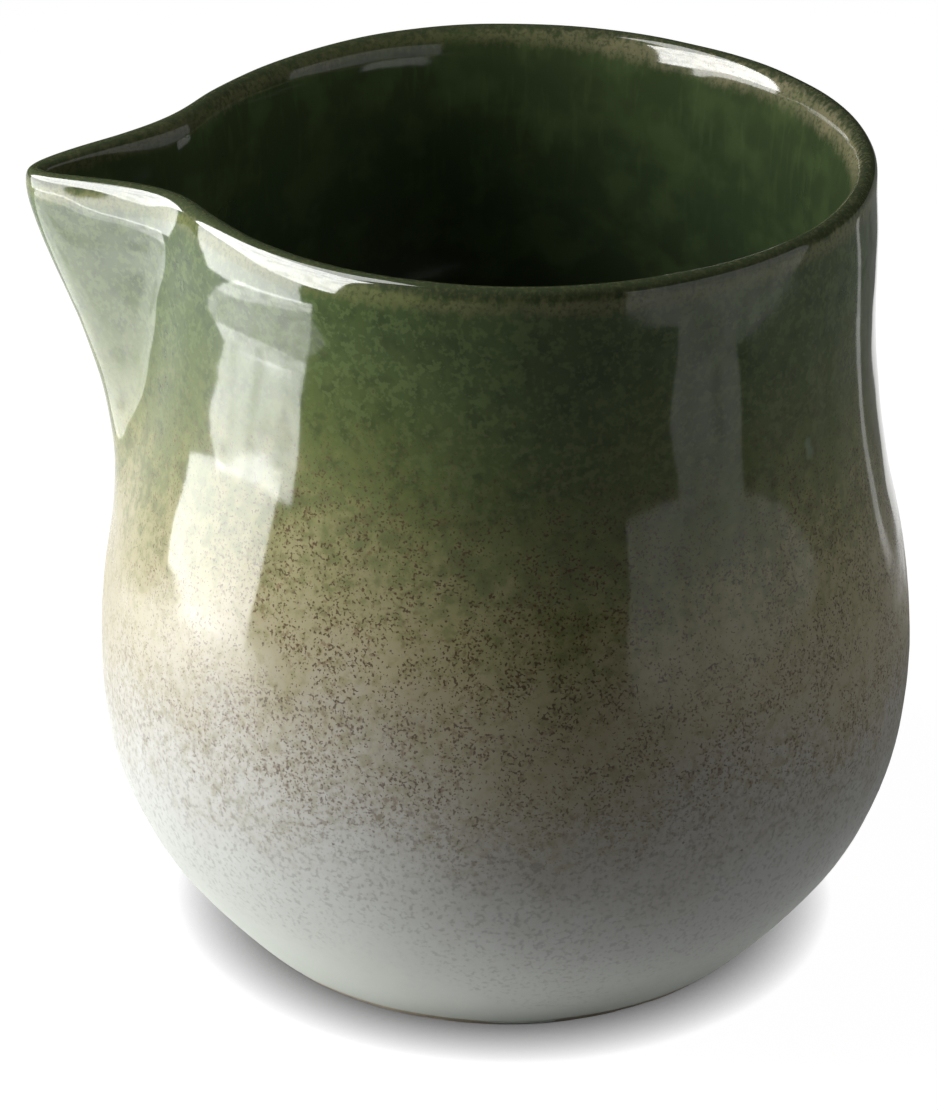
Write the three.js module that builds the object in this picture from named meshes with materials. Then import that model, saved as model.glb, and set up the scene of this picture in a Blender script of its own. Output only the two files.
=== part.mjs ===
// A stoneware milk jug with a pulled pouring lip: one fired clay vessel under five coats of glaze.
// Millimetres, +Z up, standing on z = 0. The spout points along -X.
import * as THREE from "three";

// Driving dimensions
const HEIGHT = 88;
const RIM_RADIUS = 37.7;
const NECK_RADIUS = 38.05;
const NECK_HEIGHT = 76;
const BELLY_RADIUS = 43.65;
const BELLY_HEIGHT = 31.2;
const BASE_RADIUS = 30;
const BASE_EDGE_HEIGHT = 1;
const BASE_SLOPE = THREE.MathUtils.degToRad(46.6);

// How long each stretch of the outline keeps its direction before it turns
const BASE_SWEEP = 8.1;
const BELLY_SWEEP_BELOW = 16.9;
const BELLY_SWEEP_ABOVE = 18;
const NECK_SWEEP_BELOW = 24.3;
const NECK_SWEEP_ABOVE = 6;
const RIM_SWEEP = 3;

// Wall, from the outer glaze face to the inner one; the inner face opens outwards over the last millimetres
const RIM_WALL = 2.4;
const SPOUT_TIP_WALL = 2;
const NECK_WALL = 4;
const BASE_WALL = 4.2;
const LIP_TAPER_HEIGHT = 7;
const FLOOR_HEIGHT = 5;
const FLOOR_START_HEIGHT = 5.2;
const FLOOR_CORNER = 4.5;

// The pouring spout, pulled out of the round wall
const SPOUT_REACH = 15.3;
const SPOUT_HALF_ANGLE = THREE.MathUtils.degToRad(25.5);
const SPOUT_ROOT_HALF_ANGLE = THREE.MathUtils.degToRad(8);
const SPOUT_KEEL_ANGLE = THREE.MathUtils.degToRad(3.5);
const SPOUT_POINTING = 3.2;
const SPOUT_ROOT_HEIGHT = 47;
const SPOUT_SWELL = 1.35;
const SPOUT_NARROWING = 0.6;
// The tip turns upright again over its last few millimetres, and stands a little below the rim
const TIP_TURN = 1.7;
const TIP_TURN_HEIGHT = 6;
const TIP_DIP = 1.5;
// Pulling the spout draws the wall in and down on both sides of it
const FLANK_DRAW = 1.27;
const FLANK_DIP = 0.45;
const FLANK_START_ANGLE = THREE.MathUtils.degToRad(38);
const FLANK_END_ANGLE = THREE.MathUtils.degToRad(87);

// The turned foot
const FOOT_RADIUS = 29;
const FOOT_WIDTH = 3.4;
const RECESS_DEPTH = 1.4;

// Glaze
const GLAZE = 0.4;
const FUSION_GAP = 0.05;
const LIP_BAND_OUTSIDE = 2.2;
const LIP_BAND_INSIDE = 1.4;
const GREEN_EDGE_HEIGHT = 40;

// Facets
const SPOUT_STEPS = 28;
const SPOUT_CROWDING = 1.4;
const ROUND_STEPS = 38;
const LIP_STEPS = 6;
const BODY_ROW = 5.6;
const FLOOR_ROWS = 4;
const SLOPE_PROBE = 0.01;
const HEIGHT_HALVINGS = 40;
const HALF_ROUND_HANDLE = 4 / 3;

const rimHeight = HEIGHT - RIM_WALL / 2;

// The outline of the round wall, from the base edge to the rim
const outline = [
  new THREE.CubicBezierCurve(
    new THREE.Vector2(BASE_RADIUS, BASE_EDGE_HEIGHT),
    new THREE.Vector2(
      BASE_RADIUS + BASE_SWEEP * Math.cos(BASE_SLOPE),
      BASE_EDGE_HEIGHT + BASE_SWEEP * Math.sin(BASE_SLOPE),
    ),
    new THREE.Vector2(BELLY_RADIUS, BELLY_HEIGHT - BELLY_SWEEP_BELOW),
    new THREE.Vector2(BELLY_RADIUS, BELLY_HEIGHT),
  ),
  new THREE.CubicBezierCurve(
    new THREE.Vector2(BELLY_RADIUS, BELLY_HEIGHT),
    new THREE.Vector2(BELLY_RADIUS, BELLY_HEIGHT + BELLY_SWEEP_ABOVE),
    new THREE.Vector2(NECK_RADIUS, NECK_HEIGHT - NECK_SWEEP_BELOW),
    new THREE.Vector2(NECK_RADIUS, NECK_HEIGHT),
  ),
  new THREE.CubicBezierCurve(
    new THREE.Vector2(NECK_RADIUS, NECK_HEIGHT),
    new THREE.Vector2(NECK_RADIUS, NECK_HEIGHT + NECK_SWEEP_ABOVE),
    new THREE.Vector2(RIM_RADIUS, rimHeight - RIM_SWEEP),
    new THREE.Vector2(RIM_RADIUS, rimHeight),
  ),
];

// A point of the outline at a height, and the outward direction there
function outlineAt(z) {
  const stretch = outline.find((curve) => z <= curve.v3.y) ?? outline.at(-1);
  let low = 0;
  let high = 1;
  for (let halving = 0; halving < HEIGHT_HALVINGS; halving += 1) {
    const middle = (low + high) / 2;
    if (stretch.getPoint(middle).y < z) low = middle;
    else high = middle;
  }
  const along = stretch.getTangent(high);
  return { point: stretch.getPoint(high), out: new THREE.Vector2(along.y, -along.x) };
}

// The share of the way from the spout's root up to the rim
function spoutClimb(z) {
  const share = (z - SPOUT_ROOT_HEIGHT) / (rimHeight - SPOUT_ROOT_HEIGHT);
  return THREE.MathUtils.clamp(share, 0, 1);
}

// How much of the spout there is at an angle from its centre line: 1 on the keel, 0 beside the spout
function spoutShare(angle, z) {
  const halfAngle = THREE.MathUtils.lerp(
    SPOUT_ROOT_HALF_ANGLE,
    SPOUT_HALF_ANGLE,
    spoutClimb(z) ** SPOUT_NARROWING,
  );
  const aside = Math.hypot(angle, SPOUT_KEEL_ANGLE) - SPOUT_KEEL_ANGLE;
  return Math.max(0, 1 - aside / halfAngle) ** SPOUT_POINTING;
}

function flankShare(angle) {
  return 1 - THREE.MathUtils.smoothstep(Math.abs(angle), FLANK_START_ANGLE, FLANK_END_ANGLE);
}

// How far the wall is pulled out of the round outline, and how far down
function pull(angle, z) {
  const climb = spoutClimb(z);
  const turn = Math.max(0, (z - (rimHeight - TIP_TURN_HEIGHT)) / TIP_TURN_HEIGHT);
  const reach = SPOUT_REACH * climb ** SPOUT_SWELL - TIP_TURN * turn ** 2;
  const draw = FLANK_DRAW * climb ** SPOUT_SWELL;
  const dip = TIP_DIP * spoutShare(angle, z) + FLANK_DIP * flankShare(angle);
  return {
    out: reach * spoutShare(angle, z) - draw * flankShare(angle),
    down: dip * climb ** 2,
  };
}

// The wall thickness, which thins towards the lip and along the pulled spout
function wallAt(angle, z) {
  const share = (z - BASE_EDGE_HEIGHT) / (rimHeight - BASE_EDGE_HEIGHT);
  const nearLip = Math.max(0, 1 - (rimHeight - z) / LIP_TAPER_HEIGHT) ** 2;
  const alongSpout = spoutShare(angle, z) * spoutClimb(z);
  const thinning = 1 - (1 - nearLip) * (1 - alongSpout);
  return THREE.MathUtils.lerp(BASE_WALL, NECK_WALL, share)
    - (NECK_WALL - RIM_WALL) * thinning
    - (RIM_WALL - SPOUT_TIP_WALL) * alongSpout;
}

// A point in the middle of the wall
function midPoint(angle, z) {
  const { point, out } = outlineAt(z);
  const middle = point.addScaledVector(out, -wallAt(angle, z) / 2);
  const pulled = pull(angle, z);
  const radius = middle.x + pulled.out;
  return new THREE.Vector3(
    -radius * Math.cos(angle),
    -radius * Math.sin(angle),
    middle.y - pulled.down,
  );
}

// The middle of the wall, its outward direction and its upward direction
function midFace(angle, z) {
  const point = midPoint(angle, z);
  const around = midPoint(angle + SLOPE_PROBE / BELLY_RADIUS, z).sub(
    midPoint(angle - SLOPE_PROBE / BELLY_RADIUS, z),
  );
  const up = midPoint(angle, Math.min(z + SLOPE_PROBE, rimHeight))
    .sub(midPoint(angle, z - SLOPE_PROBE))
    .normalize();
  const out = around.cross(up).normalize();
  return { point, out, up };
}

// A point sunk below the outer face, or raised behind the inner one
function belowOuter(angle, z, depth) {
  const { point, out } = midFace(angle, z);
  return point.addScaledVector(out, wallAt(angle, z) / 2 - depth);
}

function behindInner(angle, z, depth) {
  const { point, out } = midFace(angle, z);
  return point.addScaledVector(out, depth - wallAt(angle, z) / 2);
}

// The rounded lip, from the outer face (share 0) over the crest to the inner face (share 1)
function lipPoint(angle, share, depth) {
  const { point, out, up } = midFace(angle, rimHeight);
  const half = wallAt(angle, rimHeight) / 2;
  const lean = (wallAt(angle, rimHeight - SLOPE_PROBE) / 2 - half) / SLOPE_PROBE;
  const handle = half * HALF_ROUND_HANDLE;
  const curve = new THREE.CubicBezierCurve(
    new THREE.Vector2(half, 0),
    new THREE.Vector2(half - handle * lean, handle),
    new THREE.Vector2(handle * lean - half, handle),
    new THREE.Vector2(-half, 0),
  );
  const place = curve.getPoint(share);
  const along = curve.getTangent(share);
  return point
    .addScaledVector(out, place.x - along.y * depth)
    .addScaledVector(up, place.y + along.x * depth);
}

// The floor, from the wall to the centre
function floorPoint(angle, share, depth) {
  const { up } = midFace(angle, FLOOR_START_HEIGHT);
  const edge = behindInner(angle, FLOOR_START_HEIGHT, 0);
  const radius = Math.hypot(edge.x, edge.y);
  const curve = new THREE.CubicBezierCurve(
    new THREE.Vector2(radius, edge.z),
    new THREE.Vector2(
      radius - FLOOR_CORNER * Math.hypot(up.x, up.y),
      edge.z - FLOOR_CORNER * up.z,
    ),
    new THREE.Vector2(radius / 2, FLOOR_HEIGHT),
    new THREE.Vector2(0, FLOOR_HEIGHT),
  );
  const point = curve.getPoint(share);
  const along = curve.getTangent(share);
  const reach = point.x - along.y * depth;
  return new THREE.Vector3(
    -reach * Math.cos(angle),
    -reach * Math.sin(angle),
    point.y + along.x * depth,
  );
}

function steps(from, to, count) {
  return Array.from({ length: count + 1 }, (_, i) => from + ((to - from) * i) / count);
}

function rows(from, to) {
  return steps(from, to, Math.max(1, Math.round(Math.abs(to - from) / BODY_ROW)));
}

// Angles round the jug from the spout's centre line, crowded together at the keel
const spoutSpan = SPOUT_HALF_ANGLE + SPOUT_KEEL_ANGLE;
const crowded = (share) => Math.sign(share) * Math.abs(share) ** SPOUT_CROWDING * spoutSpan;
const angles = [
  ...steps(-1, 1, SPOUT_STEPS).map(crowded),
  ...steps(spoutSpan, Math.PI, ROUND_STEPS / 2).slice(1),
  ...steps(-Math.PI, -spoutSpan, ROUND_STEPS / 2).slice(1, -1),
];

// A closed skin over rings of points; a ring with one point on the axis closes to a pole
function skin(stations, closed) {
  const positions = [];
  const index = [];
  const rings = stations.map((station) => {
    const start = positions.length / 3;
    if (station.pole) {
      positions.push(...station.pole.toArray());
      return { start, size: 1 };
    }
    for (const angle of angles) positions.push(...station(angle).toArray());
    return { start, size: angles.length };
  });
  const height = (vertex) => positions[3 * vertex + 2];
  const pairs = closed ? rings.length : rings.length - 1;
  for (let i = 0; i < pairs; i += 1) {
    const a = rings[i];
    const b = rings[(i + 1) % rings.length];
    for (let j = 0; j < angles.length; j += 1) {
      const k = (j + 1) % angles.length;
      if (a.size === 1) index.push(a.start, b.start + k, b.start + j);
      else if (b.size === 1) index.push(a.start + j, a.start + k, b.start);
      else if (height(a.start + j) <= height(b.start + j)) {
        index.push(a.start + j, a.start + k, b.start + k);
        index.push(a.start + j, b.start + k, b.start + j);
      } else {
        index.push(a.start + j, a.start + k, b.start + j);
        index.push(a.start + k, b.start + k, b.start + j);
      }
    }
  }
  const geometry = new THREE.BufferGeometry();
  geometry.setAttribute("position", new THREE.Float32BufferAttribute(positions, 3));
  geometry.setIndex(index);
  geometry.computeVertexNormals();
  return geometry;
}

const ring = (radius, z) => (angle) =>
  new THREE.Vector3(-radius * Math.cos(angle), -radius * Math.sin(angle), z);
const pole = (z) => ({ pole: new THREE.Vector3(0, 0, z) });

const lipBandOuter = rimHeight - LIP_BAND_OUTSIDE;
const lipBandInner = rimHeight - LIP_BAND_INSIDE;
const lowerHeights = rows(BASE_EDGE_HEIGHT, GREEN_EDGE_HEIGHT);
const upperHeights = rows(GREEN_EDGE_HEIGHT, lipBandOuter);
const linerHeights = rows(lipBandInner, FLOOR_START_HEIGHT);

// The same rows, with the end next to another coat drawn back by the gap
const shortOfTop = (heights) => [...heights.slice(0, -1), heights.at(-1) - FUSION_GAP];
const shortOfStart = (heights) => [heights[0] - FUSION_GAP, ...heights.slice(1)];

function outerStations(heights, depth) {
  return heights.map((z) => (angle) => belowOuter(angle, z, depth));
}

function innerStations(heights, depth) {
  return heights.map((z) => (angle) => behindInner(angle, z, depth));
}

function lipStations(depth) {
  return steps(0, 1, LIP_STEPS).map((share) => (angle) => lipPoint(angle, share, depth));
}

function floorStations(depth) {
  const shares = steps(0, 1, FLOOR_ROWS).slice(1, -1);
  return [
    ...shares.map((share) => (angle) => floorPoint(angle, share, depth)),
    pole(FLOOR_HEIGHT - depth),
  ];
}

function clayBody() {
  const under = GLAZE + FUSION_GAP;
  const recess = RECESS_DEPTH + under;
  const footTop = belowOuter(Math.PI, BASE_EDGE_HEIGHT, under).z;
  return skin([
    pole(recess),
    ring(FOOT_RADIUS - FOOT_WIDTH, recess),
    ring(FOOT_RADIUS - FOOT_WIDTH, 0),
    ring(FOOT_RADIUS, 0),
    ring(FOOT_RADIUS, footTop),
    ...outerStations([...lowerHeights, ...upperHeights.slice(1)], under),
    ...lipStations(under),
    ...innerStations(linerHeights, under),
    ...floorStations(under),
  ]);
}

// A coat whose two faces meet at its edges
function outerCoat(heights) {
  return skin(
    [...outerStations(heights, 0), ...outerStations([...heights].reverse(), GLAZE)],
    true,
  );
}

function lipCoat() {
  const face = (depth) => [
    ...outerStations([lipBandOuter], depth),
    ...lipStations(depth),
    ...innerStations([lipBandInner], depth),
  ];
  return skin([...face(0), ...face(GLAZE).reverse()], true);
}

function linerCoat() {
  const heights = shortOfStart(linerHeights);
  const face = (depth) => [...innerStations(heights, depth), ...floorStations(depth)];
  return skin([...face(0).reverse(), ...face(GLAZE)].reverse());
}

function recessCoat() {
  const radius = FOOT_RADIUS - FOOT_WIDTH - FUSION_GAP;
  return skin([
    pole(RECESS_DEPTH),
    ring(radius, RECESS_DEPTH),
    ring(radius, RECESS_DEPTH + GLAZE),
    pole(RECESS_DEPTH + GLAZE),
  ]);
}

const stoneware = new THREE.MeshStandardMaterial({ color: 0xb9a88c, roughness: 0.85 });
const paleGlaze = new THREE.MeshStandardMaterial({ color: 0xb4b9b2, roughness: 0.35 });
const greenGlaze = new THREE.MeshStandardMaterial({ color: 0x4a5f3a, roughness: 0.12 });
const lipGlaze = new THREE.MeshStandardMaterial({ color: 0x6f6a48, roughness: 0.12 });

function piece(name, geometry, material) {
  const mesh = new THREE.Mesh(geometry, material);
  mesh.name = name;
  return mesh;
}

const jug = new THREE.Group();
jug.add(
  piece("clay_body", clayBody(), stoneware),
  piece("lower_glaze", outerCoat(shortOfTop(lowerHeights)), paleGlaze),
  piece("upper_glaze", outerCoat(shortOfTop(upperHeights)), greenGlaze),
  piece("lip_glaze", lipCoat(), lipGlaze),
  piece("liner_glaze", linerCoat(), greenGlaze),
  piece("recess_glaze", recessCoat(), paleGlaze),
);

// The frame's origin is under the middle of the whole jug, spout included
const extent = new THREE.Box3().setFromObject(jug);
jug.position.x = -(extent.min.x + extent.max.x) / 2;

export default jug;
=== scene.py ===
import math

import bpy
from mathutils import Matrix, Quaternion, Vector
from mathutils.bvhtree import BVHTree
from mathutils.kdtree import KDTree

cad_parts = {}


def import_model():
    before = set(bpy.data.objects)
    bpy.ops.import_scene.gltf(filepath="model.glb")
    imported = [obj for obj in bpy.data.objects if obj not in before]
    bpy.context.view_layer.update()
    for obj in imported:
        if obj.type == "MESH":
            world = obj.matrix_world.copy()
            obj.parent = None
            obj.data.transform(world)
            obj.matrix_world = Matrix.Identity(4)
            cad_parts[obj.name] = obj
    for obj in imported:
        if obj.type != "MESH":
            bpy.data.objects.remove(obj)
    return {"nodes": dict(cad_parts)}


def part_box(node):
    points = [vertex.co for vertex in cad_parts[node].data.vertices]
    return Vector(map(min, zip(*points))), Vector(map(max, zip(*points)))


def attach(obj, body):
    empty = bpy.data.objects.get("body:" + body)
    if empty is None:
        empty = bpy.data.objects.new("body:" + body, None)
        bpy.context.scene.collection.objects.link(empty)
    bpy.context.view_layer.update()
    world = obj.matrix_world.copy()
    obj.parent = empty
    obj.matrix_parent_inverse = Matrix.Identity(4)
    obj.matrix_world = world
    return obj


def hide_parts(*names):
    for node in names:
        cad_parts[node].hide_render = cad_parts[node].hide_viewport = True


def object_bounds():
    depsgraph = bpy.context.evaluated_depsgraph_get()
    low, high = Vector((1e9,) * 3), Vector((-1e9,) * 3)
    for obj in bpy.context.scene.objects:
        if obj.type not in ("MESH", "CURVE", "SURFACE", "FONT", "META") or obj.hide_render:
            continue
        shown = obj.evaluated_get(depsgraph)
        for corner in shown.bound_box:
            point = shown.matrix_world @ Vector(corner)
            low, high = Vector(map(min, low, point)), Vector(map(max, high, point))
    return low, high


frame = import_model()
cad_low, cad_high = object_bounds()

MM = 0.001
nodes = frame["nodes"]

# The jug's own axis stands over the middle of its foot, not of its spout
recess_low, recess_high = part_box("recess_glaze")
AXIS_X = (recess_low.x + recess_high.x) / 2

# The photograph's view of the jug
VIEW_ELEVATION = math.radians(26.293)
VIEW_AZIMUTH = math.radians(-2.406)
VIEW_ROLL = math.radians(0.617)
VIEW_DISTANCE = 500 * MM
VIEW_TARGET = Vector((AXIS_X, 0, cad_high.z / 2))
VIEW_RIGHT = 4.02 * MM
VIEW_UP = 2.77 * MM
VIEW_LENS = 151.75
SENSOR_WIDTH = 36

# The coats of glaze take the material slots after the bare clay's
COATS = ("lower_glaze", "upper_glaze", "lip_glaze", "liner_glaze", "recess_glaze")
BARE = 0

# How thick a coat is, how far its face is from the clay, and how near the clay under its node is
COAT = 0.35 * MM
COAT_FACE = 0.45 * MM
COAT_REACH = 0.4 * MM

# The mesh: corners that are one, edges that stay sharp, smoothing, and the grid in the middle of the floor
MERGE = 0.001 * MM
SHARP = math.radians(35)
SMOOTHNESS = 2
FLOOR_SPAN = 16
POLE = 1 * MM

# The potter's hand: soft lumps and faint throwing rings in the wall, worn corners on the foot
LUMP_SIZE = 14 * MM
LUMP_DEPTH = 0.30 * MM
RING_SIZE = 5 * MM
RING_DEPTH = 0.10 * MM
RING_STRETCH = 6
FOOT_BEVEL = 0.3 * MM
BEVEL_STEPS = 2
FOOT_WORN = 0.1 * MM
# The lumps would lift the lip a little above its true height, and this takes it back
SETTLED = 0.9988

# A surface is level where its normal points up or down by this share, as at the crest of the lip
LEVEL = 0.97

# Outward is away from a line that runs from the jug's axis to this place in the spout
SPOUT_MIDDLE = -36 * MM

# A face takes the normals of the whole glaze where it faces their way by this share
FACING = 0.5

# The shoulder drawn out under the lip with the spout: how far, where it starts and ends below the crest
DRAWN_OUT = 0.9 * MM
DRAWN_START = (-0.3 * MM, 2.6 * MM)
DRAWN_END = (3.2 * MM, 10 * MM)
DRAWN_SIDE = (0.1, 0.6)
DRAWN_TIP = (3 * MM, 14 * MM)

# Colours of the glaze by height in millimetres, where the green one runs down over the pale one
JUG_SPAN = (0, 90)
OUTSIDE = (
    (4, (0.58, 0.61, 0.555)),
    (15, (0.55, 0.57, 0.53)),
    (23, (0.50, 0.505, 0.475)),
    (30, (0.42, 0.405, 0.35)),
    (37, (0.37, 0.34, 0.255)),
    (45, (0.38, 0.34, 0.21)),
    (52, (0.31, 0.29, 0.145)),
    (60, (0.17, 0.19, 0.068)),
    (68, (0.092, 0.125, 0.038)),
    (80, (0.066, 0.1, 0.036)),
)
INSIDE = (
    (8, (0.05, 0.055, 0.034)),
    (45, (0.045, 0.054, 0.03)),
    (68, (0.036, 0.06, 0.027)),
    (84, (0.045, 0.066, 0.026)),
)
IRON = (0.085, 0.052, 0.03)
RUST = (0.17, 0.115, 0.06)
OLIVE = (0.2, 0.2, 0.095)
MOSS = (0.028, 0.042, 0.02)
LEAF = (0.125, 0.17, 0.06)
FERN = (0.085, 0.125, 0.045)
TAN = (0.2, 0.2, 0.09)
CREAM = (0.31, 0.275, 0.165)
BARK = (0.16, 0.155, 0.075)
CELADON = (0.24, 0.32, 0.21)
SLATE = (0.20, 0.195, 0.185)
CHALK = (0.52, 0.52, 0.52)
CREST = (0.048, 0.058, 0.031)
DARK_CLAY = (0.45, 0.37, 0.27)
PALE_CLAY = (0.62, 0.54, 0.42)
BLACK = (0, 0, 0)
WHITE = (1, 1, 1)

# The Mix node's sockets for colours, by number because their names repeat
MIX_FACTOR, MIX_FIRST, MIX_SECOND, MIX_RESULT = 0, 6, 7, 2

# Noise lies about this middle, and its detail is soft or fine
MIDDLE = 0.5
SOFT = 2.0
FINE = 3.0
FINER = 5.0

# Sizes of the clouds, grains and specks in millimetres
BROAD_CLOUD = 22
SMALL_CLOUD = 6
INNER_CLOUD = 5
GLOSS_CLOUD = 3
CROWD_SIZE = 3.4
PATCH_SIZE = 2
GRAIN = 1.2
FINE_GRAIN = 0.55
SPECK_SIZE = 0.3
SPECK_DETAIL = 1.0
SPECK_OFFSET = 40

# How far clouds drift the colours up and down in millimetres, and the share of it that the specks follow
OUTER_DRIFT = 12
INNER_DRIFT = 16
GLOSS_DRIFT = 8
SPECK_DRIFT = 0.4

# How far the colours shift up or down the jug from left to right: two places across, and the shift of the
# colours at both
RUNS = (
    (-40, -26, 0.0, -3.5),
    (-14, 6, 0.0, 7.5),
    (10, 28, 0.0, -4.0),
)

# Zones by height in millimetres, each from nothing to full
GREEN_ZONE = (46, 62)
GREY_TOP = (42, 30)
GREY_FOOT = (6, 20)
MINGLED_FOOT = (20, 38)
MINGLED_TOP = (80, 58)
DROPS_FOOT = (42, 48)
DROPS_TOP = (74, 66)
CLOUD_FOOT = (30, 60)
STREAK_FOOT = (60, 84)

# Flecks: where in the noise they begin, where they are full, and how strong they are
MOSS_PATCHES = (0.45, 0.68, 0.4)
LEAF_PATCHES = (0.96, 1.16, 0.6)
CHALK_FLECKS = (0.47, 0.33, 0.3)
SLATE_FLECKS = (0.5, 0.66, 0.4)
RUST_FLECKS = (0.5, 0.68, 0.65)
OLIVE_FLECKS = (0.5, 0.66, 0.35)
IRON_SPECKS = (0, 0.07, 0.85)
FERN_CLOUDS = (0.42, 0.68, 0.45)
LEAF_STREAKS = (0.52, 0.72, 0.16)
TAN_FLECKS = (0.48, 0.66, 0.55)

# Where in the noise the specks crowd together, and how much noise makes a speck alone and in a crowd
CROWD = (0.34, 0.6)
SPECK_SPREAD = (0.64, 0.56)

# Fewer specks on the far left: two places across, and the share of specks at both
FEWER_ASIDE = (-42, -18, 0.5, 1.0)

# Dots: the size of a cell in millimetres, their radius and soft edge in cells, their share and strength
DOT_CELL = 0.8
DOT_RADIUS = 0.24
DOT_EDGE = 0.1
DOT_SHARE = 0.25
DOT_STRENGTH = 0.7
DROP_CELL = 12
DROP_RADIUS = 0.11
DROP_EDGE = 0.08
DROP_SHARE = 0.5
DROP_STRENGTH = 0.5

# How far noise pushes the cells of the dots about, in cells, and how softly their share cuts off
DOT_WOBBLE = 0.6
DOT_CHANCE = 0.02

# The streaks inside are drawn out upright
STREAK_SIZE = 0.9
STREAK_STRETCH = (1, 1, 0.16)

# The tan band along the lip: how far it reaches past the crest in millimetres, inside more towards the back
OUTER_REACH = 2.8
INNER_START = 0.3
INNER_REACH = (2.4, 3.8)
TOWARD_BACK = (0, 26)

# Where along the same way the lip turns outwards, the dark crest starts and ends, and the tan starts
LIP_TURN = (-0.3, 0.3)
CREST_START = (-0.6, -0.2)
CREST_END = (1.2, 0.5)
TAN_START = (0.5, 1.2)

# How strong the crest, its flecks and the tan are, and from what share of its reach the tan fades
CREST_STRENGTH = 0.8
CREST_FLECKS = 0.5
TAN_STRENGTH = 0.85
TAN_FADE = 0.5

# The ragged edge of the tan, its flecks and its worn places, by their sizes and strengths
TAN_FLECK_SIZE = 0.4
TAN_EDGE = 2.2
TAN_EDGE_SIZE = 0.7
TAN_EDGE_DETAIL = 4.0
TAN_EDGE_STRETCH = (1, 1, 0.4)
WORN_SIZE = 7
WORN = (0.35, 0.65, 0.55, 1.0)

# Roughness: glossy where the glaze is green, satin where it is pale and less glossy deep inside
GLOSSY = 0.07
SATIN = 0.65
CLAY_ROUGH = 0.85
STUDIO_ROUGH = 0.9
GLAZE_IOR = 1.6
GLOSS_ZONE = (32, 52)
TURNED_IN = (0, -1)
DEEP_INSIDE = (45, 70, 0.5, 1.0)

# The glaze's faint orange peel and the clay's grain
PEEL_SIZE = 2.6
PEEL_DEPTH = 0.007
FINE_PEEL_SIZE = 0.4
FINE_PEEL = 0.12
CLAY_GRAIN = 1.1
CLAY_DETAIL = 6.0
CLAY_DEPTH = 0.2

# The floor's width in metres
FLOOR_SIZE = 6

# Painted bounce light: the share of light that the floor bounces at the foot, on the left and on the right,
# and where these meet; high at the foot and on the left as a painted pool of light, low on the right as
# painted shade
PAINTED_FOOT_BOUNCE = 0.95
PAINTED_LEFT_BOUNCE = 0.95
PAINTED_RIGHT_BOUNCE = 0.12
BOUNCE_TURN = (-70, -10)
FOOT_CIRCLE = (70, 48)

# The floor as the eye sees it: its own grey, its glow, and the reach of the painted shadow close to the
# jug, where occlusion darkens the glow
FLOOR_SEEN = 0.05
FLOOR_GLOW = 0.98
SHADOW_REACH = 5.5 * MM
SHADOW_SAMPLES = 8

# Lamps, in millimetres, where brightness 1 is white
WORLD_LIGHT = 0.022
WINDOW = {"centre": (-197, -8, 225), "aim": (0, -8, 183), "size": (150, 460), "brightness": 6.4}
FILL = {"centre": (236, -16, 160), "aim": (0, 0, 85), "size": (150, 200), "brightness": 1.9}
LIT_PAPER = {"centre": (-100, -105, 1), "aim": (-100, -105, 1000), "size": (150, 110), "brightness": 0.85}

# Sheets that only reflections see, glowing as painted reflections of a lit table, of a panel on it and of a
# line of light, by their corners in millimetres in the order of Blender's own plane
FAR_TABLE = ((-262, -112, 1), (-200, -86, 1), (-262, 20, 1), (-200, 43, 1))
NEAR_TABLE = ((-200, -86, 1), (-110, -48, 1), (-200, 43, 1), (-105, 78, 1))
PANEL_ON_TABLE = ((125, -125, 1), (176, -166, 1), (170, -70, 1), (222, -96, 1))
LIGHT_LINE = ((118, 86, 1), (124, 78, 1), (210, 154, 1), (216, 146, 1))
TABLE_LIGHT = 6.5
NEAR_TABLE_LIGHT = 3.6
PANEL_LIGHT = 0.55
LINE_LIGHT = 0.9

# Cards that only reflections see, lying on the floor in front, on the right and behind and glowing dimly as
# painted reflections: left, right, front and back
FRONT_CARD = (-800, 800, -800, -75)
RIGHT_CARD = (55, 800, -75, 60)
BACK_CARD = (100, 800, 60, 800)
CARD_HEIGHT = 0.5
FRONT_SHADE = 0.085
RIGHT_SHADE = 0.15

# Upright screens that only reflections see, glowing as painted reflections of a panel and of a lamp: where
# they start and end on the floor, their bottom and their top
PANEL = ((120, -208), (240, 10), 14, 170)
PANEL_FOOT = ((176, -166), (222, -96), 1, 15)
LAMP_REFLECTION = ((-190, 66), (-176, -120), 110, 270)
LAMP_REFLECTION_LIGHT = 15

# What the reflected pieces are made of: black cloth, or a glow with soft clouds in it, a painted reflection
# of lit paper
SOOT = (0.01, 0.01, 0.01, 1)
PAPER_CLOUD = 20
PAPER_CLOUDS = (0.35, 0.65, 0.7, 1.2)

# The tent's width in metres, and how far it is off the floor
TENT_SIZE = 1.6
TENT_LIFT = 0.5 * MM


class Value:
    """A number that changes over a surface, written in plain arithmetic."""

    def __init__(self, finish, socket):
        self.finish = finish
        self.socket = socket

    def _math(self, operation, first, second):
        return self.finish.node("Math", {"operation": operation}, [first, second])

    def __add__(self, other):
        return self._math("ADD", self, other)

    def __radd__(self, other):
        return self._math("ADD", other, self)

    def __sub__(self, other):
        return self._math("SUBTRACT", self, other)

    def __rsub__(self, other):
        return self._math("SUBTRACT", other, self)

    def __mul__(self, other):
        return self._math("MULTIPLY", self, other)

    def __rmul__(self, other):
        return self._math("MULTIPLY", other, self)


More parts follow.
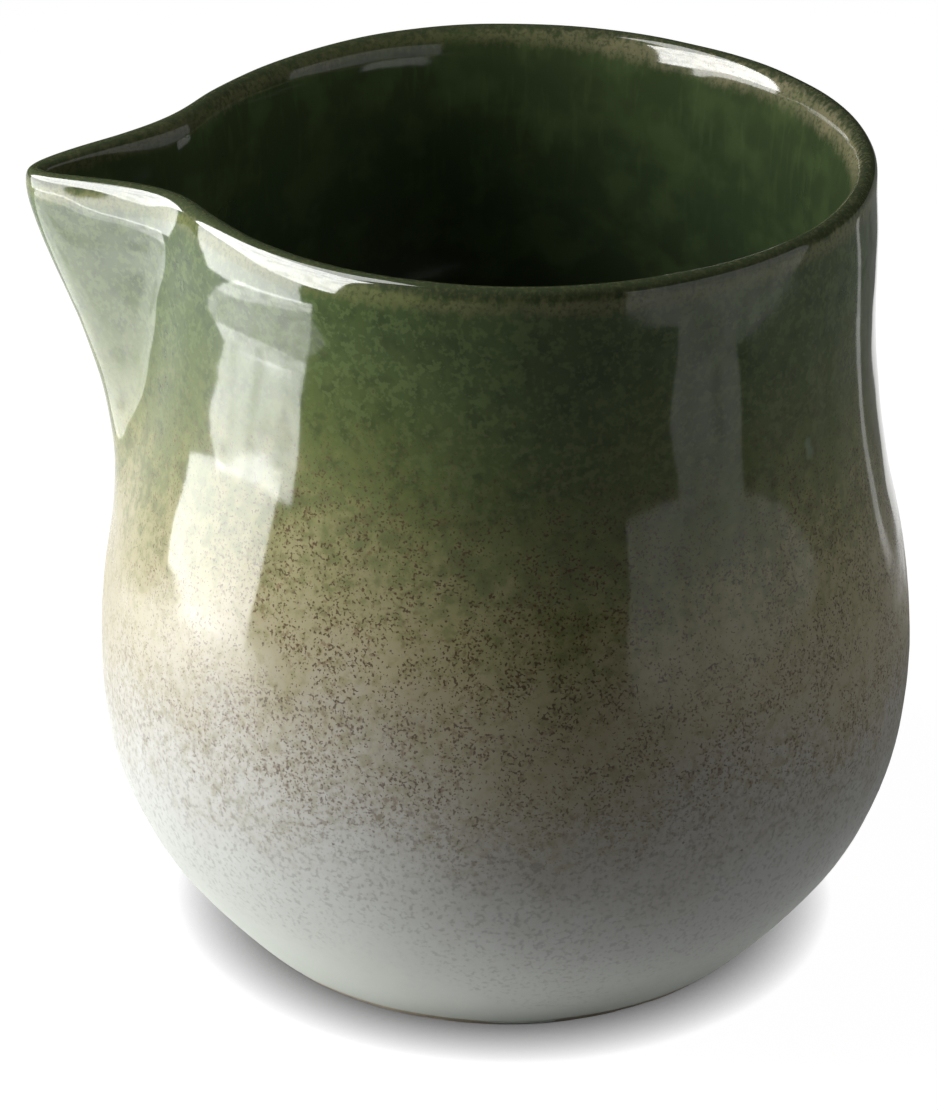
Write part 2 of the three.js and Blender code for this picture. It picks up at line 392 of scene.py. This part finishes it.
class Finish:
    """The nodes of one material or of the world, round the shader that it already has."""

    def __init__(self, owner):
        owner.use_nodes = True
        self.owner = owner
        self.tree = owner.node_tree
        coloured = {"Color", "Base Color"}
        self.shader = next(node for node in self.tree.nodes if coloured & set(node.inputs.keys()))

    def node(self, kind, settings=None, inputs=None, output=0):
        """Adds one node, sets it up and gives one of its outputs."""
        made = self.tree.nodes.new("ShaderNode" + kind)
        for key, value in (settings or {}).items():
            if key == "stops":
                self._stops(made.color_ramp, value)
            else:
                setattr(made, key, value)
        pairs = enumerate(inputs) if isinstance(inputs, list) else (inputs or {}).items()
        for key, value in pairs:
            self._feed(made.inputs[key], value)
        return Value(self, made.outputs[output])

    def _feed(self, socket, value):
        if isinstance(value, Value):
            self.tree.links.new(value.socket, socket)
        elif value is not None:
            socket.default_value = value

    def _stops(self, ramp, stops):
        while len(ramp.elements) < len(stops):
            ramp.elements.new(1)
        ramp.interpolation = "B_SPLINE"
        for element, (place, colour) in zip(ramp.elements, stops):
            element.position = place
            element.color = (*colour, 1)

    def set(self, **sockets):
        """Sets or links the shader's own sockets, named with low lines for spaces."""
        for name, value in sockets.items():
            self._feed(self.shader.inputs[name.replace("_", " ")], value)

    def place(self):
        return self.node("TexCoord", output="Object")

    def height(self):
        """How high a point of the surface is, in millimetres."""
        return self.node("SeparateXYZ", inputs=[self.place()], output="Z") * (1 / MM)

    def across(self):
        """How far a point of the surface is to the right of the middle, in millimetres."""
        return self.node("SeparateXYZ", inputs=[self.place()], output="X") * (1 / MM)

    def past_crest(self):
        """How far a point is from the crest of the lip in millimetres: more outside, less inside."""
        return self.node("Attribute", {"attribute_name": "past_crest"}, output="Fac") * (1 / MM)

    def noise(self, size, detail=SOFT, stretch=(1, 1, 1), offset=0):
        """Soft noise about the middle, its lumps a size in millimetres, taken elsewhere by an offset."""
        settings = {"Vector": self.place(), "Location": (offset * MM,) * 3, "Scale": stretch}
        place = self.node("Mapping", inputs=settings)
        return self.node("TexNoise", inputs={"Vector": place, "Scale": 1 / (size * MM), "Detail": detail})

    def sway(self, amount, size, detail=SOFT, stretch=(1, 1, 1)):
        """Soft noise about 0, of an amount from its lowest to its highest."""
        return (self.noise(size, detail, stretch) - MIDDLE) * amount

    def dots(self, size, radius, share, edge=DOT_EDGE):
        """1 in scattered dots and 0 between them, where a share of the cells of a size has a dot."""
        scale = 1 / (size * MM)
        rough = {"Vector": self.place(), "Scale": 2 * scale, "Detail": SOFT}
        wobble = self.node("TexNoise", inputs=rough, output="Color")
        wobbled = {"Vector": wobble, "Scale": DOT_WOBBLE / scale}
        shift = self.node("VectorMath", {"operation": "SCALE"}, wobbled)
        place = self.node("VectorMath", {"operation": "ADD"}, [self.place(), shift])
        cell = {"Vector": place, "Scale": scale}
        near = self.step(self.node("TexVoronoi", inputs=cell, output="Distance"), radius, radius - edge)
        chance = self.node("SeparateColor", inputs=[self.node("TexVoronoi", inputs=cell, output="Color")])
        return near * self.step(share - chance, 0, DOT_CHANCE)

    def step(self, value, low, high):
        """A smooth rise from 0 to 1 as a value goes from low to high."""
        settings = {"interpolation_type": "SMOOTHSTEP"}
        return self.node("MapRange", settings, [value, low, high, 0.0, 1.0])

    def flecks(self, pattern, start, full, strength):
        """Flecks of a strength, where a pattern passes from their start to where they are full."""
        return self.step(pattern, start, full) * strength

    def between(self, value, low, high, bottom, top):
        """A straight line between two numbers as a value goes from low to high, level past both."""
        return self.node("MapRange", inputs=[value, low, high, bottom, top])

    def gradient(self, value, span, stops):
        """A colour that changes over a span, with its stops in the span's own unit."""
        low, high = span
        placed = [((place - low) / (high - low), colour) for place, colour in stops]
        return self.node("ValToRGB", {"stops": placed}, [self.between(value, low, high, 0.0, 1.0)])

    def mix(self, factor, first, second):
        """One colour over another, by a factor."""
        pairs = {MIX_FACTOR: factor, MIX_FIRST: first, MIX_SECOND: second}
        inputs = {key: (*value, 1) if isinstance(value, tuple) else value for key, value in pairs.items()}
        return self.node("Mix", {"data_type": "RGBA"}, inputs, output=MIX_RESULT)

    def bump(self, height, depth):
        """The surface pushed out where a height is more, by a depth in millimetres."""
        return self.node("Bump", inputs={"Height": height, "Distance": depth * MM})


def only(piece):
    """Selects one piece and nothing else, as every operator here wants."""
    bpy.ops.object.select_all(action="DESELECT")
    piece.select_set(True)
    bpy.context.view_layer.objects.active = piece


def copy_of(source, name):
    made = bpy.data.objects.new(name, source.data.copy())
    bpy.context.scene.collection.objects.link(made)
    only(made)
    return made


def apply(piece, kind, **settings):
    """Adds a modifier to a piece, sets it and applies it."""
    only(piece)
    bpy.ops.object.modifier_add(type=kind)
    modifier = piece.modifiers[-1]
    for key, value in settings.items():
        setattr(modifier, key, value)
    bpy.ops.object.modifier_apply(modifier=modifier.name)


def edit(piece, mode):
    """Opens a piece for editing with nothing of it selected."""
    only(piece)
    bpy.ops.object.mode_set(mode="EDIT")
    bpy.ops.mesh.select_mode(type=mode)
    bpy.ops.mesh.select_all(action="DESELECT")


def close():
    bpy.ops.object.mode_set(mode="OBJECT")


def pick_faces(piece, wanted):
    """Opens a piece for editing with the wanted faces selected."""
    edit(piece, "FACE")
    close()
    for face in piece.data.polygons:
        face.select = wanted(face)
    bpy.ops.object.mode_set(mode="EDIT")


def pick_points(piece, wanted):
    """Opens a piece for editing with the points selected whose places are wanted."""
    edit(piece, "VERT")
    close()
    for point in piece.data.vertices:
        point.select = wanted(point.co)
    bpy.ops.object.mode_set(mode="EDIT")


def camera():
    data = bpy.data.cameras.new("camera")
    data.lens = VIEW_LENS
    data.sensor_width = SENSOR_WIDTH
    made = bpy.data.objects.new("camera", data)
    bpy.context.scene.collection.objects.link(made)
    back = Vector((
        math.sin(VIEW_AZIMUTH) * math.cos(VIEW_ELEVATION),
        -math.cos(VIEW_AZIMUTH) * math.cos(VIEW_ELEVATION),
        math.sin(VIEW_ELEVATION),
    ))
    right = Vector((math.cos(VIEW_AZIMUTH), math.sin(VIEW_AZIMUTH), 0))
    up = back.cross(right)
    made.location = VIEW_TARGET + back * VIEW_DISTANCE
    look = VIEW_TARGET - right * VIEW_RIGHT - up * VIEW_UP - made.location
    made.rotation_mode = "QUATERNION"
    made.rotation_quaternion = Quaternion(look.normalized(), -VIEW_ROLL) @ look.to_track_quat("-Z", "Y")
    bpy.context.scene.camera = made


def squared_clay():
    """A copy of the frame's clay, its doubled corners merged and its triangles paired into quads."""
    clay = copy_of(nodes["clay_body"], "fired_clay")
    clay.data.materials.clear()
    bpy.ops.mesh.customdata_custom_splitnormals_clear()
    edit(clay, "VERT")
    bpy.ops.mesh.select_all(action="SELECT")
    bpy.ops.mesh.remove_doubles(threshold=MERGE)
    bpy.ops.mesh.tris_convert_to_quads(face_threshold=math.pi, shape_threshold=math.pi)
    close()
    return clay


def smooth_floor(clay):
    """The fan of faces in the middle of the floor becomes a grid, which subdivides evenly."""
    pick_points(clay, lambda at: math.hypot(at.x - AXIS_X, at.y) < POLE and at.z > recess_high.z + POLE)
    bpy.ops.mesh.delete(type="VERT")
    bpy.ops.mesh.select_non_manifold()
    bpy.ops.mesh.fill_grid(span=FLOOR_SPAN)
    close()


def slot_of(coat_name):
    """The material slot of a coat of glaze on the clay."""
    return COATS.index(coat_name) + BARE + 1


def coat_over(face, coats):
    """The slot of the coat of glaze that lies over a face of the clay, or the bare clay's."""
    distance, slot = min((tree.find_nearest(face.center)[3], slot) for slot, tree in coats.items())
    return slot if distance < COAT_REACH else BARE


def mark_coats(clay):
    """Each face of the clay takes the material slot of the coat that lies over it."""
    coats = {}
    for name in COATS:
        mesh = nodes[name].data
        points = [point.co for point in mesh.vertices]
        coats[slot_of(name)] = BVHTree.FromPolygons(points, [face.vertices for face in mesh.polygons])
    for _ in (BARE, *COATS):
        clay.data.materials.append(None)
    for face in clay.data.polygons:
        face.material_index = coat_over(face, coats)


def soften_foot(clay):
    """The corners of the turned foot and of the base get a small worn bevel."""
    edit(clay, "EDGE")
    bpy.ops.mesh.edges_select_sharp(sharpness=SHARP)
    bpy.ops.mesh.bevel(offset=FOOT_BEVEL, segments=BEVEL_STEPS, affect="EDGES")
    close()


def outward(at):
    """The level direction away from the line down the middle of the jug and of its spout."""
    return Vector((at.x - min(max(at.x, SPOUT_MIDDLE), AXIS_X), at.y, 0))


def points_in(mesh, slot):
    """The numbers of the points of the faces in one material slot."""
    return {point for face in mesh.polygons if face.material_index == slot for point in face.vertices}


def measure_crest(clay):
    """Each point of the wall keeps its distance from the crest of the lip, less than nothing inside it."""
    mesh = clay.data
    inside = points_in(mesh, slot_of("liner_glaze"))
    on_lip = points_in(mesh, slot_of("lip_glaze"))
    crest = [mesh.vertices[each] for each in sorted(on_lip) if mesh.vertices[each].normal.z > LEVEL]
    tree = KDTree(len(crest))
    for number, point in enumerate(crest):
        tree.insert(point.co, number)
    tree.balance()
    kept = mesh.attributes.new("past_crest", "FLOAT", "POINT")
    for point in mesh.vertices:
        lip_inside = point.index in on_lip and point.normal.dot(outward(point.co)) < 0
        distance = tree.find(point.co)[2]
        kept.data[point.index].value = -distance if point.index in inside or lip_inside else distance


def smooth(value, low, high):
    """A smooth rise from 0 to 1 as a value goes from low to high."""
    part = min(max((value - low) / (high - low), 0), 1)
    return part * part * (3 - 2 * part)


def draw_out_lip(clay):
    """Near the spout the outer edge of the lip was drawn out into a rounder shoulder."""
    past = clay.data.attributes["past_crest"].data
    tip = min(point.co.x for point in clay.data.vertices)
    for point in clay.data.vertices:
        away = point.co.x - AXIS_X
        side = smooth(-away / math.hypot(away, point.co.y), *DRAWN_SIDE)
        below = past[point.index].value
        share = smooth(below, *DRAWN_START) * (1 - smooth(below, *DRAWN_END))
        near_tip = smooth(point.co.x - tip, *DRAWN_TIP)
        point.co += outward(point.co).normalized() * DRAWN_OUT * share * side * near_tip


def clouds(name, size):
    texture = bpy.data.textures.new(name, "CLOUDS")
    texture.noise_scale = size
    texture.noise_depth = 1
    return texture


def uneven(clay):
    """The wall keeps soft lumps and faint throwing rings, and the foot is rubbed flat."""
    rings = bpy.data.objects.new("ring_space", None)
    bpy.context.scene.collection.objects.link(rings)
    rings.scale = (RING_STRETCH, RING_STRETCH, 1)
    bpy.context.view_layer.update()
    apply(
        clay, "DISPLACE", texture=clouds("lumps", LUMP_SIZE), texture_coords="LOCAL",
        strength=LUMP_DEPTH, mid_level=MIDDLE,
    )
    apply(
        clay, "DISPLACE", texture=clouds("throwing_rings", RING_SIZE), texture_coords="OBJECT",
        texture_coords_object=rings, strength=RING_DEPTH, mid_level=MIDDLE,
    )
    bpy.data.objects.remove(rings)
    pick_points(clay, lambda at: True)
    bpy.ops.transform.resize(value=(1, 1, SETTLED), center_override=(0, 0, 0))
    close()
    pick_points(clay, lambda at: at.z < FOOT_WORN)
    bpy.ops.transform.resize(value=(1, 1, 0), center_override=(0, 0, 0))
    close()


def thrown_clay():
    clay = squared_clay()
    smooth_floor(clay)
    mark_coats(clay)
    soften_foot(clay)
    apply(clay, "SUBSURF", levels=SMOOTHNESS, render_levels=SMOOTHNESS)
    measure_crest(clay)
    draw_out_lip(clay)
    uneven(clay)
    only(clay)
    bpy.ops.object.shade_smooth()
    return clay


def glazed_face(clay):
    """The outer face of all the coats together, which keeps its own smooth normals for them."""
    face = copy_of(clay, "glazed_face")
    pick_faces(face, lambda each: each.material_index == BARE)
    bpy.ops.mesh.delete(type="FACE")
    close()
    apply(face, "DISPLACE", strength=COAT_FACE, mid_level=0)
    kept = face.data.attributes.new("glaze_normal", "FLOAT_VECTOR", "POINT")
    for point in face.data.vertices:
        kept.data[point.index].vector = point.normal
    return face


def share_normals(piece):
    """Across the seams between the coats the glaze shines as one surface."""
    mesh = piece.data
    shared = mesh.attributes["glaze_normal"].data
    own = mesh.corner_normals
    normals = [None] * len(mesh.loops)
    for face in mesh.polygons:
        for corner in face.loop_indices:
            wanted = shared[mesh.loops[corner].vertex_index].vector
            normals[corner] = wanted if face.normal.dot(wanted) > FACING else own[corner].vector
    mesh.normals_split_custom_set([tuple(normal) for normal in normals])
    mesh.attributes.remove(mesh.attributes["glaze_normal"])


def coat(face, slot, name):
    """One coat of glaze, cut from the whole glazed face, thickened inwards."""
    piece = copy_of(face, name)
    pick_faces(piece, lambda each: each.material_index != slot)
    bpy.ops.mesh.delete(type="FACE")
    close()
    piece.data.materials.clear()
    apply(piece, "SOLIDIFY", thickness=COAT, offset=-1)
    only(piece)
    bpy.ops.object.shade_smooth_by_angle(angle=SHARP)
    share_normals(piece)
    return piece


def finish_for(name):
    return Finish(bpy.data.materials.new(name))


def total(values):
    """The sum of several values that change over a surface."""
    return sum(values[1:], values[0])


def specked(finish, colour, level, grain, fine):
    """Iron specks crowd where the green glaze mingles with the pale one."""
    mingled = finish.step(level, *MINGLED_FOOT) * finish.step(level, *MINGLED_TOP)
    aside = finish.between(finish.across(), *FEWER_ASIDE)
    crowd = finish.step(finish.noise(CROWD_SIZE, FINE), *CROWD) * mingled * aside
    spread = finish.between(crowd, 0.0, 1.0, *SPECK_SPREAD)
    speck = finish.noise(SPECK_SIZE, SPECK_DETAIL, offset=SPECK_OFFSET) - spread
    dots = finish.dots(DOT_CELL, DOT_RADIUS, crowd * DOT_SHARE)
    colour = finish.mix(crowd * finish.flecks(fine, *RUST_FLECKS), colour, RUST)
    colour = finish.mix(mingled * finish.flecks(grain, *OLIVE_FLECKS), colour, OLIVE)
    colour = finish.mix(mingled * aside * finish.flecks(speck, *IRON_SPECKS), colour, IRON)
    return finish.mix(dots * DOT_STRENGTH, colour, IRON)


def outside_colour(finish):
    """Green glaze over pale, with iron specks where the two mingle."""
    height = finish.height()
    across = finish.across()
    grain = finish.noise(GRAIN, FINE)
    fine = finish.noise(FINE_GRAIN, FINE)
    drift = finish.sway(OUTER_DRIFT, BROAD_CLOUD) + finish.sway(OUTER_DRIFT, SMALL_CLOUD, FINE)
    drift = drift + (grain - MIDDLE) * OUTER_DRIFT
    level = height + drift + total([finish.between(across, *run) for run in RUNS])
    colour = finish.gradient(level, JUG_SPAN, OUTSIDE)
    greens = finish.step(level, *GREEN_ZONE)
    patches = finish.flecks(finish.noise(PATCH_SIZE, FINER), *MOSS_PATCHES)
    colour = finish.mix(greens * patches, colour, MOSS)
    colour = finish.mix(greens * finish.flecks(grain + fine, *LEAF_PATCHES), colour, LEAF)
    greys = finish.step(level, *GREY_TOP) * finish.step(level, *GREY_FOOT)
    colour = finish.mix(greys * finish.flecks(fine, *CHALK_FLECKS), colour, CHALK)
    colour = finish.mix(greys * finish.flecks(fine, *SLATE_FLECKS), colour, SLATE)
    colour = specked(finish, colour, height + drift * SPECK_DRIFT, grain, fine)
    drops = finish.dots(DROP_CELL, DROP_RADIUS, DROP_SHARE, DROP_EDGE)
    drops = drops * finish.step(height, *DROPS_FOOT) * finish.step(height, *DROPS_TOP)
    return finish.mix(drops * DROP_STRENGTH, colour, CELADON)


def inside_colour(finish):
    """Deep glossy green with soft upright streaks and clouds."""
    height = finish.height()
    colour = finish.gradient(height + finish.sway(INNER_DRIFT, SMALL_CLOUD), JUG_SPAN, INSIDE)
    cloudy = finish.flecks(finish.noise(INNER_CLOUD, FINE), *FERN_CLOUDS)
    colour = finish.mix(cloudy * finish.step(height, *CLOUD_FOOT), colour, FERN)
    streaks = finish.flecks(finish.noise(STREAK_SIZE, FINE, STREAK_STRETCH), *LEAF_STREAKS)
    return finish.mix(streaks * finish.step(height, *STREAK_FOOT), colour, LEAF)


def tanned(finish, colour, past, reach, tan):
    """The glaze breaks tan where it runs thin over the lip, as far as a reach past the crest."""
    fleck = finish.flecks(finish.noise(TAN_FLECK_SIZE, FINE), *TAN_FLECKS)
    crest = finish.step(past, *CREST_START) * finish.step(past, *CREST_END)
    colour = finish.mix(crest * CREST_STRENGTH, colour, finish.mix(fleck * CREST_FLECKS, CREST, tan))
    ragged = past + finish.sway(TAN_EDGE, TAN_EDGE_SIZE, TAN_EDGE_DETAIL, TAN_EDGE_STRETCH)
    worn = finish.between(finish.noise(WORN_SIZE, FINE), *WORN)
    band = finish.step(ragged, *TAN_START) * finish.step(ragged, reach, reach * TAN_FADE) * worn
    return finish.mix(band * TAN_STRENGTH, colour, finish.mix(fleck, tan, MOSS))


def outer_glaze(finish):
    return tanned(finish, outside_colour(finish), finish.past_crest(), OUTER_REACH, TAN)


def inner_glaze(finish):
    """Inside the lip the glaze breaks darker and narrower towards the spout."""
    toward_back = finish.step(finish.across(), *TOWARD_BACK)
    tan = finish.mix(toward_back, BARK, CREAM)
    reach = finish.between(toward_back, 0.0, 1.0, *INNER_REACH)
    return tanned(finish, inside_colour(finish), INNER_START - finish.past_crest(), reach, tan)


def lip_glaze(finish):
    turned_out = finish.step(finish.past_crest(), *LIP_TURN)
    return finish.mix(turned_out, inner_glaze(finish), outer_glaze(finish))


def glaze(name, colours):
    """A glaze, glossy where it is green and satin where it is pale."""
    finish = finish_for(name)
    height = finish.height()
    gloss = finish.step(height + finish.sway(GLOSS_DRIFT, GLOSS_CLOUD), *GLOSS_ZONE)
    turned_in = finish.step(finish.past_crest(), *TURNED_IN) * finish.between(height, *DEEP_INSIDE)
    shine = 1 - (1 - gloss) * (1 - turned_in)
    peel = finish.noise(PEEL_SIZE) + finish.noise(FINE_PEEL_SIZE) * FINE_PEEL
    finish.set(
        Base_Color=colours(finish),
        Roughness=finish.between(shine, 0.0, 1.0, SATIN, GLOSSY),
        IOR=GLAZE_IOR,
        Normal=finish.bump(peel, PEEL_DEPTH),
    )
    return finish.owner


def bare_clay():
    finish = finish_for("bare_clay")
    grain = finish.noise(CLAY_GRAIN, CLAY_DETAIL)
    finish.set(
        Base_Color=finish.mix(grain, DARK_CLAY, PALE_CLAY),
        Roughness=CLAY_ROUGH,
        Normal=finish.bump(grain, CLAY_DEPTH),
    )
    return finish.owner


def dress(piece, node, material):
    """A piece takes its place in the jug, with its own material."""
    piece.data.materials.clear()
    piece.data.materials.append(material)
    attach(piece, "root")
    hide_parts(node)


def jug():
    clay = thrown_clay()
    face = glazed_face(clay)
    finishes = (
        ("pale_coat", "pale_glaze", glaze("pale_glaze", outside_colour)),
        ("green_coat", "green_glaze", glaze("green_glaze", outer_glaze)),
        ("lip_coat", "lip_glaze", glaze("lip_glaze", lip_glaze)),
        ("liner_coat", "liner_glaze", glaze("liner_glaze", inner_glaze)),
        ("recess_coat", "pale_glaze", glaze("recess_glaze", outside_colour)),
    )
    for node, (name, slot, material) in zip(COATS, finishes):
        dress(coat(face, slot_of(node), name), node, material)
    bpy.data.objects.remove(face)
    dress(clay, "clay_body", bare_clay())


def softbox(name, centre, aim, size, brightness, reflected=True):
    """An evenly bright rectangle of light that faces its aim, and may stay out of reflections."""
    width, height = (side * MM for side in size)
    data = bpy.data.lights.new(name, "AREA")
    data.shape = "RECTANGLE"
    data.size = width
    data.size_y = height
    data.energy = brightness * math.pi * width * height
    made = bpy.data.objects.new(name, data)
    bpy.context.scene.collection.objects.link(made)
    made.location = Vector(centre) * MM
    made.rotation_mode = "QUATERNION"
    made.rotation_quaternion = (Vector(aim) - Vector(centre)).to_track_quat("-Z", "Y")
    made.visible_camera = False
    made.visible_glossy = reflected


def seen_directly(finish):
    """1 where the camera, a reflection or a view through glass looks, 0 where light bounces."""
    rays = ("Is Camera Ray", "Is Glossy Ray", "Is Transmission Ray")
    return total([finish.node("LightPath", output=name) for name in rays])


def floor():
    """White paper to the eye with a painted contact shadow, whose colour for bounced light is a painted
    pool of light, brightest close to the jug and on the left and dark on the right.
    """
    bpy.ops.mesh.primitive_plane_add(size=FLOOR_SIZE)
    made = bpy.context.object
    made.name = "floor"
    finish = finish_for("white_paper")
    seen = seen_directly(finish)
    samples = {"samples": SHADOW_SAMPLES}
    # Painted contact shadow: the glow darkens where the jug is close by
    near = finish.node("AmbientOcclusion", samples, {"Distance": SHADOW_REACH}, output="AO")
    reach = finish.node("VectorMath", {"operation": "LENGTH"}, [finish.place()], output="Value") * (1 / MM)
    # Painted bounce light: bright at the foot and on the left, dark on the right
    side = finish.between(finish.across(), *BOUNCE_TURN, PAINTED_LEFT_BOUNCE, PAINTED_RIGHT_BOUNCE)
    bounce = side + (PAINTED_FOOT_BOUNCE - side) * finish.step(reach, *FOOT_CIRCLE)
    grey = seen * FLOOR_SEEN + (1 - seen) * bounce
    finish.set(
        Base_Color=finish.mix(grey, BLACK, WHITE),
        Roughness=STUDIO_ROUGH,
        Emission_Color=finish.mix(seen * near * FLOOR_GLOW, BLACK, WHITE),
        Emission_Strength=1,
    )
    made.data.materials.append(finish.owner)


def only_reflected(piece, brightness):
    """A piece of the studio that only reflections see, black or as bright as is said: a painted reflection.
    """
    finish = finish_for(piece.name)
    clouded = finish.between(finish.noise(PAPER_CLOUD, FINE), *PAPER_CLOUDS)
    finish.set(
        Base_Color=SOOT,
        Roughness=STUDIO_ROUGH,
        Emission_Color=finish.mix(clouded, BLACK, WHITE),
        Emission_Strength=brightness,
    )
    piece.data.materials.append(finish.owner)
    piece.visible_camera = False
    piece.visible_diffuse = False
    piece.visible_shadow = False


def sheet(name, corners, brightness):
    """A flat sheet with its four corners in millimetres, in the order of Blender's own plane."""
    bpy.ops.mesh.primitive_plane_add(size=1)
    made = bpy.context.object
    made.name = name
    for point, corner in zip(made.data.vertices, corners):
        point.co = Vector(corner) * MM
    only_reflected(made, brightness)


def card(name, left, right, front, back, brightness):
    """A card lying just over the floor."""
    corners = [(x, y, CARD_HEIGHT) for y in (front, back) for x in (left, right)]
    sheet(name, corners, brightness)


def screen(name, start, end, bottom, top, brightness):
    """An upright screen over a line on the floor, where it starts and ends."""
    corners = [(*place, height) for height in (bottom, top) for place in (start, end)]
    sheet(name, corners, brightness)


def tent():
    """Black cloth round and over the whole studio, open at the floor, which only reflections see: a painted
    dark reflection.
    """
    bpy.ops.mesh.primitive_cube_add(size=TENT_SIZE, location=(0, 0, TENT_SIZE / 2 + TENT_LIFT))
    made = bpy.context.object
    made.name = "tent"
    pick_faces(made, lambda face: face.normal.z < -LEVEL)
    bpy.ops.mesh.delete(type="FACE")
    close()
    only_reflected(made, 0.0)


def world():
    made = bpy.data.worlds.new("studio")
    bpy.context.scene.world = made
    finish = Finish(made)
    light = finish.between(seen_directly(finish), 0.0, 1.0, WORLD_LIGHT, 1.0)
    finish.set(Color=(*WHITE, 1), Strength=light)


def studio():
    floor()
    world()
    softbox("window", **WINDOW)
    softbox("fill", **FILL, reflected=False)
    softbox("lit_paper", **LIT_PAPER, reflected=False)
    tent()
    # Painted dim reflections of the floor in front, on the right and behind
    card("front_card", *FRONT_CARD, FRONT_SHADE)
    card("right_card", *RIGHT_CARD, RIGHT_SHADE)
    card("back_card", *BACK_CARD, RIGHT_SHADE)
    # Painted reflections of a lit table, a panel and a line of light
    sheet("far_table", FAR_TABLE, TABLE_LIGHT)
    sheet("near_table", NEAR_TABLE, NEAR_TABLE_LIGHT)
    screen("panel", *PANEL, PANEL_LIGHT)
    screen("panel_foot", *PANEL_FOOT, PANEL_LIGHT)
    sheet("panel_light", PANEL_ON_TABLE, PANEL_LIGHT)
    # Painted reflection of a lamp: a glowing screen that lights nothing
    screen("lamp", *LAMP_REFLECTION, LAMP_REFLECTION_LIGHT)
    sheet("light_line", LIGHT_LINE, LINE_LIGHT)


camera()
jug()
studio()
bpy.context.scene.view_settings.view_transform = "Standard"
